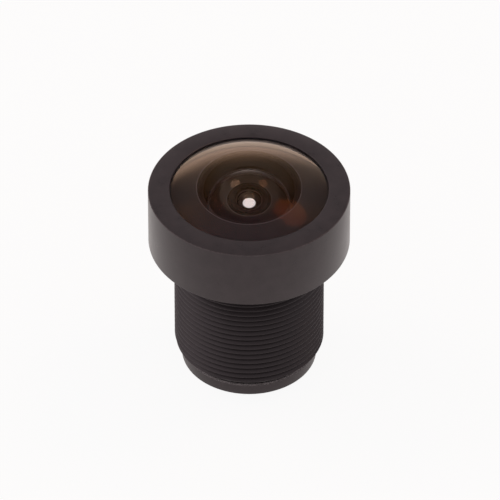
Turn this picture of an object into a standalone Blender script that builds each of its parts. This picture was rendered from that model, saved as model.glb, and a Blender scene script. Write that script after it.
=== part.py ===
"""Fixed-focus wide-angle lens for a small security camera, with an M12 x 0.5 mount thread.

The lens stands on its rear end with its optical axis on Z. Every size here is in millimetres and
becomes metres where a mesh is made. Heights are stacked up from the rear face: the filter holder,
the retaining ring, each glass with its air and its spacer, and last the lip of the cap, which
sets the top of the head.
"""

import math

import bpy

MM = 0.001
FACETS = 40
HARD_EDGE = math.radians(30)

# Rear collar: the filter holder and its filter
COLLAR_DIAMETER = 10.8
COLLAR_HEIGHT = 1.1
COLLAR_CHAMFER = 0.12
NECK_STEP = 0.3
NECK_HEIGHT = 0.4
SPIGOT_HEIGHT = 0.9
SPIGOT_WALL = 0.8
FILTER_LEDGE = 0.7
FILTER_RECESS = 0.9
FILTER_THICKNESS = 0.4

# Threaded barrel: diameter over the crests of the thread, which ends in a relief at the head
THREAD_DIAMETER = 11.94
THREAD_PITCH = 0.5
THREAD_DEPTH = 0.29
THREAD_CHAMFER = 0.4
RELIEF_DEPTH = 0.37
RELIEF_HEIGHT = 0.5

# Head: the cap over the barrel's flange
HEAD_DIAMETER = 16.0
HEAD_HEIGHT = 5.26
HEAD_CHAMFER = 0.15
SKIRT_WALL = 0.92
SKIRT_CHAMFER = 0.1
SEAT_WALL = 0.52
LIP_OVERLAP = 0.23
LIP_THICKNESS = 0.11
SEAL_CORD = 0.4
SEAL_SIDES = 8

# Fits between pieces: each is the clearance left on one side
FACE_GAP = 0.02
GLASS_FIT = 0.03
CAP_FIT = 0.03
RING_FIT = 0.03
SPIGOT_FIT = 0.03
LIP_GAP = 0.03
CEMENT = 0.01

# Front lens: a dome over a deep bowl, with a wide flat land round the bowl
FRONT_EDGE_THICKNESS = 0.72
DOME_RISE = 2.08
BOWL_DIAMETER = 7.4
BOWL_DEPTH = 2.0

# Second lens: almost flat at the front and deeply hollow at the rear
SECOND_DIAMETER = 8.6
SECOND_THICKNESS = 0.7
SECOND_LAND_WIDTH = 0.7
SECOND_FRONT_DEPTH = 0.11
HOLLOW_DIAMETER = 4.6
HOLLOW_DEPTH = 1.7

# Lenses stacked behind the web: each thickness is on the axis, each rise is over the whole face
STACK_DIAMETER = 6.5
THIRD_THICKNESS = 3.55
THIRD_FRONT_RISE = 0.76
THIRD_REAR_RISE = 0.74
FOURTH_THICKNESS = 2.3
FOURTH_FRONT_RISE = 0.75
CEMENTED_RISE = 0.7
FIFTH_THICKNESS = 0.6
FIFTH_LAND_WIDTH = 0.65
FIFTH_REAR_DEPTH = 0.12
SIXTH_THICKNESS = 1.9
SIXTH_FRONT_RISE = 0.5
SIXTH_REAR_RISE = 0.45

# Air on the axis between the glasses, and the stop between the third and the fourth
AIR_BEHIND_SECOND = 2.0
AIR_BEFORE_STOP = 1.4
AIR_BEHIND_STOP = 0.45
AIR_BEFORE_SIXTH = 0.2
STOP_OPENING = 2.4
STOP_THICKNESS = 0.1
STOP_BEVEL = 0.06

# Web, spacers, retaining ring and black sheets
WEB_LEDGE = 0.7
SPACER_WALL = 0.55
GROOVE_DEPTH = 0.2
GROOVES = 3
RING_WALL = 0.7
RING_STEP = 0.17
RING_HEIGHT = 0.6
RING_SETBACK = 0.09
NOTCH_WIDTH = 0.8
NOTCH_DEPTH = 0.3
BAFFLE_THICKNESS = 0.05
BAFFLE_LAP = 0.1
BAFFLE_WIDTH = 0.8

# Flat facets that follow each curved face from the axis to its edge
DOME_STEPS = 7
BOWL_STEPS = 6
LENS_STEPS = 4


def ball_radius(edge, rise):
    """Radius of the ball whose cap has this rise and its edge this far from the axis."""
    return (edge**2 + rise**2) / (2 * rise)


def sag(radius, distance):
    """How far a ball of this radius falls away from its top, at this distance from the axis."""
    return abs(radius) - math.sqrt(radius**2 - distance**2)


def face_height(radius, vertex, distance):
    """Height of a spherical face. A radius over zero curves down, one under zero curves up."""
    return vertex - math.copysign(sag(radius, distance), radius)


# Distances from the axis in the head, from the outside in
SKIRT_BORE = HEAD_DIAMETER / 2 - SKIRT_WALL
FLANGE_EDGE = SKIRT_BORE - CAP_FIT
SEAT_BORE = FLANGE_EDGE - SEAT_WALL
FRONT_LENS_EDGE = SEAT_BORE - GLASS_FIT
LIP_OPENING = FRONT_LENS_EDGE - LIP_OVERLAP

# Distances from the axis in the barrel, from the stack out
STACK_EDGE = STACK_DIAMETER / 2
STACK_BORE = STACK_EDGE + GLASS_FIT
WEB_OPENING = STACK_EDGE - WEB_LEDGE
SPACER_BORE = STACK_EDGE - SPACER_WALL
BAFFLE_OPENING = STACK_EDGE - BAFFLE_WIDTH
RING_BORE = STACK_BORE + RING_STEP
RING_EDGE = RING_BORE - RING_FIT
RING_OPENING = RING_EDGE - RING_WALL
HOLDER_OPENING = RING_BORE + BAFFLE_LAP
SPIGOT_EDGE = HOLDER_OPENING + SPIGOT_WALL
FILTER_EDGE = HOLDER_OPENING + FILTER_LEDGE
FIFTH_APERTURE = STACK_EDGE - FIFTH_LAND_WIDTH
SECOND_APERTURE = SECOND_DIAMETER / 2 - SECOND_LAND_WIDTH

# Radii of the spherical faces, under zero where the centre is in front of the face
DOME_RADIUS = ball_radius(FRONT_LENS_EDGE, DOME_RISE)
BOWL_RADIUS = ball_radius(BOWL_DIAMETER / 2, BOWL_DEPTH)
SECOND_RADIUS = -ball_radius(SECOND_APERTURE, SECOND_FRONT_DEPTH)
HOLLOW_RADIUS = ball_radius(HOLLOW_DIAMETER / 2, HOLLOW_DEPTH)
THIRD_RADIUS = ball_radius(STACK_EDGE, THIRD_FRONT_RISE)
THIRD_REAR_RADIUS = -ball_radius(STACK_EDGE, THIRD_REAR_RISE)
FOURTH_RADIUS = ball_radius(STACK_EDGE, FOURTH_FRONT_RISE)
CEMENTED_RADIUS = -ball_radius(STACK_EDGE, CEMENTED_RISE)
FIFTH_REAR_RADIUS = ball_radius(FIFTH_APERTURE, FIFTH_REAR_DEPTH)
SIXTH_RADIUS = ball_radius(STACK_EDGE, SIXTH_FRONT_RISE)
SIXTH_REAR_RADIUS = -ball_radius(STACK_EDGE, SIXTH_REAR_RISE)

# Heights from the rear face up: the holder, the ring and the rear stack
BARREL_END = COLLAR_HEIGHT + NECK_HEIGHT
SPIGOT_TOP = BARREL_END + SPIGOT_HEIGHT
RING_BOTTOM = SPIGOT_TOP + RING_SETBACK
RING_TOP = RING_BOTTOM + RING_HEIGHT
SIXTH_REAR_VERTEX = RING_TOP + FACE_GAP - sag(SIXTH_REAR_RADIUS, RING_OPENING)
SIXTH_VERTEX = SIXTH_REAR_VERTEX + SIXTH_THICKNESS
FIFTH_REAR_VERTEX = SIXTH_VERTEX + AIR_BEFORE_SIXTH
FIFTH_LAND = FIFTH_REAR_VERTEX - FIFTH_REAR_DEPTH
FIFTH_VERTEX = FIFTH_REAR_VERTEX + FIFTH_THICKNESS
CEMENTED_VERTEX = FIFTH_VERTEX + CEMENT
FOURTH_VERTEX = CEMENTED_VERTEX + FOURTH_THICKNESS
STOP_TOP = FOURTH_VERTEX + AIR_BEHIND_STOP
STOP_BOTTOM = STOP_TOP - STOP_THICKNESS
THIRD_REAR_VERTEX = STOP_TOP + AIR_BEFORE_STOP
THIRD_VERTEX = THIRD_REAR_VERTEX + THIRD_THICKNESS
WEB_BOTTOM = face_height(THIRD_RADIUS, THIRD_VERTEX, WEB_OPENING) + FACE_GAP

# Heights in the head, from the second lens up to the lip of the cap
HOLLOW_VERTEX = THIRD_VERTEX + AIR_BEHIND_SECOND
SECOND_LAND = HOLLOW_VERTEX - HOLLOW_DEPTH
WEB_TOP = SECOND_LAND - BAFFLE_THICKNESS - 2 * FACE_GAP
SECOND_VERTEX = HOLLOW_VERTEX + SECOND_THICKNESS
SEAT = SECOND_VERTEX + SECOND_FRONT_DEPTH
FRONT_LAND = SEAT + BAFFLE_THICKNESS + 2 * FACE_GAP
BOWL_VERTEX = FRONT_LAND + BOWL_DEPTH
FRONT_EDGE = FRONT_LAND + FRONT_EDGE_THICKNESS
DOME_VERTEX = FRONT_EDGE + DOME_RISE
LIP_UNDERSIDE = FRONT_EDGE + LIP_GAP
LIP_EDGE = face_height(DOME_RADIUS, DOME_VERTEX, LIP_OPENING) + LIP_GAP
SEAL_TOP = LIP_UNDERSIDE - FACE_GAP
WALL_TOP = SEAL_TOP - SEAL_CORD - FACE_GAP
HEAD_TOP = LIP_EDGE + LIP_THICKNESS
HEAD_BASE = HEAD_TOP - HEAD_HEIGHT
THREAD_TOP = HEAD_BASE - RELIEF_HEIGHT

# The thread's full turns, from the crest that its upper slope ends on down to its lower chamfer
FIRST_CREST = THREAD_TOP - RELIEF_DEPTH
TURNS = int((FIRST_CREST - BARREL_END - THREAD_CHAMFER) / THREAD_PITCH)

# Opening, outer edge and top of each black sheet, which lies just behind the glass that it shades
BAFFLES = {
    "front_baffle": (
        BOWL_DIAMETER / 2 - BAFFLE_LAP,
        FRONT_LENS_EDGE - BAFFLE_LAP,
        FRONT_LAND - FACE_GAP,
    ),
    "middle_baffle": (
        HOLLOW_DIAMETER / 2 + BAFFLE_LAP,
        SECOND_DIAMETER / 2,
        SECOND_LAND - FACE_GAP,
    ),
    "stop_baffle": (
        BAFFLE_OPENING,
        STACK_EDGE,
        face_height(THIRD_REAR_RADIUS, THIRD_REAR_VERTEX, BAFFLE_OPENING) - FACE_GAP,
    ),
    "rear_baffle": (BAFFLE_OPENING, STACK_EDGE, FIFTH_LAND - FACE_GAP),
}


def finish(name, colour, roughness, metallic=0.0, transmission=0.0, ior=1.5):
    """A material with this colour, roughness and metallic value."""
    material = bpy.data.materials.new(name)
    material.use_nodes = True
    shader = material.node_tree.nodes["Principled BSDF"]
    shader.inputs["Base Color"].default_value = (*colour, 1.0)
    shader.inputs["Roughness"].default_value = roughness
    shader.inputs["Metallic"].default_value = metallic
    shader.inputs["Transmission Weight"].default_value = transmission
    shader.inputs["IOR"].default_value = ior
    material.diffuse_color = (*colour, 1.0)
    return material


def anodised(name):
    """Black anodised aluminium with a satin face."""
    return finish(name, (0.018, 0.016, 0.016), 0.38)


def glass(name, ior):
    """Clear optical glass of this refractive index."""
    return finish(name, (1.0, 0.99, 0.97), 0.0, transmission=1.0, ior=ior)


def fresh_scene():
    """Remove what the scene holds and return the collections for the parts and the cutters."""
    for leftover in list(bpy.data.objects):
        bpy.data.objects.remove(leftover)
    parts = bpy.data.collections.new("camera_lens")
    cutters = bpy.data.collections.new("cutters")
    bpy.context.scene.collection.children.link(parts)
    bpy.context.scene.collection.children.link(cutters)
    cutters.hide_render = True
    return parts, cutters


def move_to(collection, piece):
    """Take a piece out of the collections that it is in and put it in this one."""
    for holder in list(piece.users_collection):
        holder.objects.unlink(piece)
    collection.objects.link(piece)


def freeze(piece):
    """Make the evaluated shape the piece's own mesh, shaded smooth between its hard edges."""
    graph = bpy.context.evaluated_depsgraph_get()
    mesh = bpy.data.meshes.new_from_object(piece.evaluated_get(graph))
    mesh.name = piece.name
    piece.modifiers.clear()
    piece.data = mesh
    mesh.shade_smooth()
    mesh.set_sharp_from_angle(angle=HARD_EDGE)


def turned(name, profile, closed, datum, material, parts):
    """Turn a profile of (distance, height) points about the axis, with the origin at datum.

    The points run down the outer side. A closed profile makes a ring, an open one a solid whose
    two ends are on the axis.
    """
    points = [(distance * MM, 0.0, (height - datum) * MM) for distance, height in profile]
    edges = [(index, index + 1) for index in range(len(points) - 1)]
    if closed:
        edges.append((len(points) - 1, 0))
    mesh = bpy.data.meshes.new(name)
    mesh.from_pydata(points, edges, [])
    piece = bpy.data.objects.new(name, mesh)
    piece.location = (0.0, 0.0, datum * MM)
    parts.objects.link(piece)
    screw = piece.modifiers.new("turn", "SCREW")
    screw.axis = "Z"
    screw.angle = 2 * math.pi
    screw.steps = screw.render_steps = FACETS
    screw.use_merge_vertices = True
    screw.merge_threshold = 0.001 * MM
    freeze(piece)
    piece.data.materials.append(material)
    return piece


def ring(name, inner, outer, bottom, top, material, parts):
    """A plain square-edged ring between two distances and two heights."""
    profile = [(inner, top), (outer, top), (outer, bottom), (inner, bottom)]
    return turned(name, profile, True, bottom, material, parts)


def face(radius, vertex, edge, steps):
    """Points on a spherical face, evenly spaced from the axis out to the edge."""
    distances = [edge * step / steps for step in range(steps + 1)]
    return [(distance, face_height(radius, vertex, distance)) for distance in distances]


def lens(name, front, rear, edge, land, material, parts):
    """A lens from its front face and its rear face, both listed from the axis outwards.

    The ground edge joins them, and a hollow face meets it across a flat land. The origin is at
    the height named land, where the lens rests.
    """
    profile = list(front)
    if front[-1][0] < edge:
        profile.append((edge, front[-1][1]))
    if rear[-1][0] < edge:
        profile.append((edge, rear[-1][1]))
    profile.extend(reversed(rear))
    return turned(name, profile, False, land, material, parts)


def front_cap(parts):
    """The head's outer shell: a skirt over the barrel's flange and a thin lip over the glass."""
    outer = HEAD_DIAMETER / 2
    profile = [
        (LIP_OPENING, HEAD_TOP),
        (outer - HEAD_CHAMFER, HEAD_TOP),
        (outer, HEAD_TOP - HEAD_CHAMFER),
        (outer, HEAD_BASE + SKIRT_CHAMFER),
        (outer - SKIRT_CHAMFER, HEAD_BASE),
        (SKIRT_BORE, HEAD_BASE),
        (SKIRT_BORE, LIP_UNDERSIDE),
        (SEAT_BORE, LIP_UNDERSIDE),
        (LIP_OPENING, LIP_EDGE),
    ]
    turned("front_cap", profile, True, HEAD_BASE, anodised("cap_anodising"), parts)


def front_seal(parts):
    """The rubber ring squeezed between the glass, the barrel's wall and the cap's lip."""
    cord = SEAL_CORD / 2
    bpy.ops.mesh.primitive_torus_add(
        major_segments=FACETS,
        minor_segments=SEAL_SIDES,
        major_radius=(FRONT_LENS_EDGE + FACE_GAP + cord) * MM,
        minor_radius=cord * MM,
        location=(0.0, 0.0, (SEAL_TOP - cord) * MM),
    )
    piece = bpy.context.object
    piece.name = piece.data.name = "front_seal"
    piece.data.shade_smooth()
    piece.data.materials.append(finish("seal_rubber", (0.012, 0.012, 0.012), 0.65))
    move_to(parts, piece)


def thread_rings():
    """Points down the thread, with one V for each full turn. They have no lead, so each is a ring."""
    crest = THREAD_DIAMETER / 2
    points = [(crest, FIRST_CREST)]
    for turn in range(1, TURNS + 1):
        height = FIRST_CREST - turn * THREAD_PITCH
        points.append((crest - THREAD_DEPTH, height + THREAD_PITCH / 2))
        points.append((crest, height))
    return points


def main_barrel(parts):
    """The threaded barrel: a flange in the head, a stepped bore and a web for the third lens."""
    crest = THREAD_DIAMETER / 2
    relief = crest - RELIEF_DEPTH
    second_bore = SECOND_DIAMETER / 2 + GLASS_FIT
    spigot_bore = SPIGOT_EDGE + SPIGOT_FIT
    profile = [
        (SEAT_BORE, WALL_TOP),
        (FLANGE_EDGE, WALL_TOP),
        (FLANGE_EDGE, HEAD_BASE),
        (relief, HEAD_BASE),
        (relief, THREAD_TOP),
        *thread_rings(),
        (crest, BARREL_END + THREAD_CHAMFER),
        (crest - THREAD_CHAMFER, BARREL_END),
        (spigot_bore, BARREL_END),
        (spigot_bore, SPIGOT_TOP + FACE_GAP),
        (RING_BORE, SPIGOT_TOP + FACE_GAP),
        (RING_BORE, RING_TOP + FACE_GAP),
        (STACK_BORE, RING_TOP + FACE_GAP),
        (STACK_BORE, WEB_BOTTOM),
        (WEB_OPENING, WEB_BOTTOM),
        (WEB_OPENING, WEB_TOP),
        (second_bore, WEB_TOP),
        (second_bore, SEAT),
        (SEAT_BORE, SEAT),
    ]
    turned("main_barrel", profile, True, BARREL_END, anodised("barrel_anodising"), parts)


def front_element(parts):
    """The domed front lens, hollow behind, with a wide flat land round the hollow."""
    front = face(DOME_RADIUS, DOME_VERTEX, FRONT_LENS_EDGE, DOME_STEPS)
    rear = face(BOWL_RADIUS, BOWL_VERTEX, BOWL_DIAMETER / 2, BOWL_STEPS)
    material = glass("front_glass", 1.773)
    lens("front_element", front, rear, FRONT_LENS_EDGE, FRONT_LAND, material, parts)


def second_element(parts):
    """The second lens, whose rear hollow opens over the third lens."""
    front = face(SECOND_RADIUS, SECOND_VERTEX, SECOND_APERTURE, LENS_STEPS // 2)
    rear = face(HOLLOW_RADIUS, HOLLOW_VERTEX, HOLLOW_DIAMETER / 2, BOWL_STEPS)
    material = glass("second_glass", 1.75)
    lens("second_element", front, rear, SECOND_DIAMETER / 2, SECOND_LAND, material, parts)


def rear_stack(parts):
    """The four lenses behind the web, with the fourth and the fifth cemented together.

    Each row has a lens's name, its refractive index, the radius and the vertex of its front face
    and of its rear face, and how far out the rear face goes.
    """
    rows = [
        (
            "third_element",
            1.92,
            (THIRD_RADIUS, THIRD_VERTEX),
            (THIRD_REAR_RADIUS, THIRD_REAR_VERTEX),
            STACK_EDGE,
        ),
        (
            "fourth_element",
            1.62,
            (FOURTH_RADIUS, FOURTH_VERTEX),
            (CEMENTED_RADIUS, CEMENTED_VERTEX),
            STACK_EDGE,
        ),
        (
            "fifth_element",
            1.92,
            (CEMENTED_RADIUS, FIFTH_VERTEX),
            (FIFTH_REAR_RADIUS, FIFTH_REAR_VERTEX),
            FIFTH_APERTURE,
        ),
        (
            "sixth_element",
            1.62,
            (SIXTH_RADIUS, SIXTH_VERTEX),
            (SIXTH_REAR_RADIUS, SIXTH_REAR_VERTEX),
            STACK_EDGE,
        ),
    ]
    for name, ior, front_face, rear_face, rear_edge in rows:
        front = face(*front_face, STACK_EDGE, LENS_STEPS)
        rear = face(*rear_face, rear_edge, LENS_STEPS)
        material = glass(name + "_glass", ior)
        lens(name, front, rear, STACK_EDGE, rear[-1][1], material, parts)


def under_baffle(name):
    """Height of what rests against the rear of this sheet."""
    return BAFFLES[name][2] - BAFFLE_THICKNESS - FACE_GAP


def stop_spacer(parts):
    """The tall ring before the stop, whose bore has grooves that break up stray light."""
    top = under_baffle("stop_baffle")
    bottom = STOP_TOP + FACE_GAP
    half_pitch = (top - bottom) / (2 * GROOVES)
    profile = [(SPACER_BORE, top), (STACK_EDGE, top), (STACK_EDGE, bottom), (SPACER_BORE, bottom)]
    for step in range(1, 2 * GROOVES):
        depth = GROOVE_DEPTH if step % 2 else 0.0
        profile.append((SPACER_BORE + depth, bottom + step * half_pitch))
    turned("stop_spacer", profile, True, bottom, anodised("stop_spacer_anodising"), parts)


def short_spacers(parts):
    """The two plain rings, before the doublet and behind it, that touch glass at their bore."""
    below_stop = face_height(FOURTH_RADIUS, FOURTH_VERTEX, SPACER_BORE) + FACE_GAP
    above_sixth = face_height(SIXTH_RADIUS, SIXTH_VERTEX, SPACER_BORE) + FACE_GAP
    heights = {
        "doublet_spacer": (below_stop, STOP_BOTTOM - FACE_GAP),
        "rear_spacer": (above_sixth, under_baffle("rear_baffle")),
    }
    for name, (bottom, top) in heights.items():
        ring(name, SPACER_BORE, STACK_EDGE, bottom, top, anodised(name + "_anodising"), parts)


def aperture_stop(parts):
    """The thin disc whose bevelled hole sets the lens's aperture."""
    hole = STOP_OPENING / 2
    profile = [
        (hole + STOP_BEVEL, STOP_TOP),
        (STACK_EDGE, STOP_TOP),
        (STACK_EDGE, STOP_BOTTOM),
        (hole, STOP_BOTTOM),
        (hole, STOP_TOP - STOP_BEVEL),
    ]
    turned("aperture_stop", profile, True, STOP_BOTTOM, anodised("stop_black"), parts)


def baffles(parts):
    """The thin black sheets that trap stray light behind four of the lenses."""
    for name, (opening, edge, top) in BAFFLES.items():
        material = finish(name + "_film", (0.01, 0.01, 0.01), 0.8)
        ring(name, opening, edge, top - BAFFLE_THICKNESS, top, material, parts)


def retaining_ring(parts, cutters):
    """The ring screwed in behind the sixth lens, with two notches for a spanner."""
    material = anodised("ring_anodising")
    piece = ring(
        "retaining_ring", RING_OPENING, RING_EDGE, RING_BOTTOM, RING_TOP, material, parts
    )
    bpy.ops.mesh.primitive_cube_add(size=1.0, location=(0.0, 0.0, RING_BOTTOM * MM))
    cutter = bpy.context.object
    cutter.name = cutter.data.name = "notch_cutter"
    cutter.scale = (4 * RING_EDGE * MM, NOTCH_WIDTH * MM, 2 * NOTCH_DEPTH * MM)
    cutter.hide_render = True
    cutter.display_type = "WIRE"
    move_to(cutters, cutter)
    cut = piece.modifiers.new("notches", "BOOLEAN")
    cut.operation = "DIFFERENCE"
    cut.solver = "EXACT"
    cut.object = cutter


def filter_holder(parts):
    """The rear collar: its spigot fits in the barrel and its recess takes the filter."""
    outer = COLLAR_DIAMETER / 2
    neck = outer - NECK_STEP
    recess = FILTER_EDGE + GLASS_FIT
    shoulder = BARREL_END - FACE_GAP
    profile = [
        (HOLDER_OPENING, SPIGOT_TOP),
        (SPIGOT_EDGE - COLLAR_CHAMFER, SPIGOT_TOP),
        (SPIGOT_EDGE, SPIGOT_TOP - COLLAR_CHAMFER),
        (SPIGOT_EDGE, shoulder),
        (neck, shoulder),
        (neck, COLLAR_HEIGHT),
        (outer - COLLAR_CHAMFER, COLLAR_HEIGHT),
        (outer, COLLAR_HEIGHT - COLLAR_CHAMFER),
        (outer, COLLAR_CHAMFER),
        (outer - COLLAR_CHAMFER, 0.0),
        (recess, 0.0),
        (recess, FILTER_RECESS),
        (HOLDER_OPENING, FILTER_RECESS),
    ]
    turned("filter_holder", profile, True, 0.0, anodised("collar_anodising"), parts)


def infrared_filter(parts):
    """The flat round filter glued up against the ledge in the holder."""
    top = FILTER_RECESS - FACE_GAP
    bottom = top - FILTER_THICKNESS
    material = finish("filter_glass", (0.72, 0.95, 0.93), 0.0, transmission=1.0, ior=1.52)
    profile = [(0.0, top), (FILTER_EDGE, top), (FILTER_EDGE, bottom), (0.0, bottom)]
    turned("infrared_filter", profile, False, bottom, material, parts)


def hang_on_axis(parts):
    """Give every piece one parent, the optical axis, so that the lens moves as a whole."""
    axis = bpy.data.objects.new("optical_axis", None)
    axis.empty_display_type = "SINGLE_ARROW"
    axis.empty_display_size = DOME_VERTEX * MM
    pieces = list(parts.objects)
    parts.objects.link(axis)
    for piece in pieces:
        piece.parent = axis


def main():
    """Model the lens, piece by piece from the front to the rear."""
    parts, cutters = fresh_scene()
    front_cap(parts)
    front_seal(parts)
    front_element(parts)
    main_barrel(parts)
    second_element(parts)
    rear_stack(parts)
    stop_spacer(parts)
    short_spacers(parts)
    aperture_stop(parts)
    baffles(parts)
    retaining_ring(parts, cutters)
    filter_holder(parts)
    infrared_filter(parts)
    hang_on_axis(parts)


main()
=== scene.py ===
"""Dress a small fixed-focus camera lens and stand it on a white studio floor.

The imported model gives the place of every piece. Each sub-assembly below makes smooth meshes for
its pieces from turned profiles, in millimetres, and gives them a finish. The lens's optical axis
is Z and its rear face stands on the floor.
"""

import logging
import math
from dataclasses import dataclass, field
from enum import Enum, IntEnum
from functools import reduce

import bmesh
import bpy
import numpy as np
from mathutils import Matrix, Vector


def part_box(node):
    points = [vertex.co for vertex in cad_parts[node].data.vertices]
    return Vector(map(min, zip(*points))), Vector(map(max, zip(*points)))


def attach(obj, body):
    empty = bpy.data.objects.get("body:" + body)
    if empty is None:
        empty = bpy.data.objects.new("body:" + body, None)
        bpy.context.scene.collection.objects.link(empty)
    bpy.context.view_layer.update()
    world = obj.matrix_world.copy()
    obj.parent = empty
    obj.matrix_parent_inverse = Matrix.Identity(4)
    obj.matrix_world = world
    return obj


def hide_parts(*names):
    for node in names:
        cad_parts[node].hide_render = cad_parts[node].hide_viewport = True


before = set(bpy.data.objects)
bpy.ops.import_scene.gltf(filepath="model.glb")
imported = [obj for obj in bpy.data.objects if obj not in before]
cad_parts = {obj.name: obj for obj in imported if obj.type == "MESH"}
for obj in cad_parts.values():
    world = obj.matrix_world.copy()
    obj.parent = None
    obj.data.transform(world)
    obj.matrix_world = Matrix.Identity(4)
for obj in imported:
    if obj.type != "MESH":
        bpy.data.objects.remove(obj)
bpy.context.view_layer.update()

log = logging.getLogger("camera_lens")

# The body that every piece rides on, and a millimetre in metres.
BODY = "root"
MM = 0.001

# How finely shapes are made: steps round one turn, chords of a corner's round, and the angle
# between two faces from which their edge is sharp.
SEGMENTS = 192
ARC_STEPS = 4
SHARP_ANGLE = math.radians(32.0)

# Points closer than this are one: in a profile, in millimetres, and in a mesh, in metres.
SAME_POINT = 1e-6
MERGE_DISTANCE = 1e-7

# The least number that anything is divided by.
TINY = 1e-12

# Clearances between pieces that meet end to end and side by side, in millimetres.
FACE_GAP = 0.02
SIDE_GAP = 0.03

# Width of the ring of unpainted ground glass next to a lens's rear hollow, in millimetres. Its light grey
# also paints a highlight along the hollow's edge.
BARE_HIGHLIGHT_WIDTH = 0.02

# Refractive index of an anti-reflection film, and the middle value of a noise.
FILM_INDEX = 1.38
NOISE_MIDDLE = 0.5

# Numbers of a Mix node's two colour sockets and of its colour output.
MIX_COLOURS = (6, 7)
MIX_RESULT = 2

Colour = tuple[float, float, float]
Point = tuple[float, float, float]
Corner = tuple[float, float, float]
Range = tuple[float, float]

WHITE: Colour = (1.0, 1.0, 1.0)


class Slot(Enum):
    """The record's material slots."""

    HEAD = "head_anodised"
    BARREL = "barrel_anodised"
    COLLAR = "collar_anodised"
    INNER = "inner_anodised"
    FRONT_GLASS = "front_glass"
    INNER_GLASS = "inner_glass"
    FILTER_GLASS = "filter_glass"
    RUBBER = "seal_rubber"
    FILM = "baffle_film"


class Glass(Enum):
    """Refractive index of each kind of glass."""

    FRONT = 1.773
    SECOND = 1.75
    DENSE = 1.92
    LIGHT = 1.62
    FLAT = 1.52


class LensFinish(IntEnum):
    """Number of each material on a lens."""

    FRONT = 0
    REAR = 1
    GROUND_AND_HIGHLIGHT = 2
    BLACK = 3


class Seen(Enum):
    """How mirrors show a lamp."""

    OUTSIDE = "by surfaces that mirror it from outside"
    IN_GLASS = "by surfaces that are looked at through glass"


class Ray(Enum):
    """The kinds of ray that the stage's materials tell apart."""

    CAMERA = "Is Camera Ray"
    GLOSSY = "Is Glossy Ray"
    TRANSMISSION = "Is Transmission Ray"


class Signal:
    """A shader socket that can stand in a sum, a difference, a product or a quotient."""

    def __init__(self, graph: "Graph", socket: bpy.types.NodeSocket) -> None:
        """Wrap a socket of a graph."""
        self.graph = graph
        self.socket = socket

    def maths(self, operation: str, *values: "Signal | float") -> "Signal":
        """Add a Math node of this operation on these values, in order, and return its result."""
        inputs = dict(enumerate(values))
        return self.graph.make("ShaderNodeMath", {"operation": operation}, inputs)

    def __add__(self, other: "Signal | float") -> "Signal":
        """Return self + other."""
        return self.maths("ADD", self, other)

    def __sub__(self, other: "Signal | float") -> "Signal":
        """Return self - other."""
        return self.maths("SUBTRACT", self, other)

    def __rsub__(self, other: float) -> "Signal":
        """Return other - self."""
        return self.maths("SUBTRACT", other, self)

    def __mul__(self, other: "Signal | float") -> "Signal":
        """Return self * other."""
        return self.maths("MULTIPLY", self, other)

    def __truediv__(self, other: "Signal | float") -> "Signal":
        """Return self / other."""
        return self.maths("DIVIDE", self, other)

    def __rtruediv__(self, other: float) -> "Signal":
        """Return other / self."""
        return self.maths("DIVIDE", other, self)

    __radd__ = __add__
    __rmul__ = __mul__

    def root(self) -> "Signal":
        """Return the square root of self."""
        return self.maths("SQRT", self)

    def at_most(self, other: "Signal | float") -> "Signal":
        """Return the smaller of self and other."""
        return self.maths("MINIMUM", self, other)

    def at_least(self, other: "Signal | float") -> "Signal":
        """Return the larger of self and other."""
        return self.maths("MAXIMUM", self, other)

    def rise(self, low: float, high: float) -> "Signal":
        """Turn the signal into a mask, by a smooth step from low to high.

        With t = (self - low) / (high - low), held between 0 and 1, the mask is t^2 (3 - 2 t).

        Args:
            low: Value up to which the mask is 0.
            high: Value from which it is 1.

        Returns:
            The mask.
        """
        settings = {"interpolation_type": "SMOOTHSTEP"}
        inputs = {"Value": self, "From Min": low, "From Max": high}
        return self.graph.make("ShaderNodeMapRange", settings, inputs, "Result")


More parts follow.
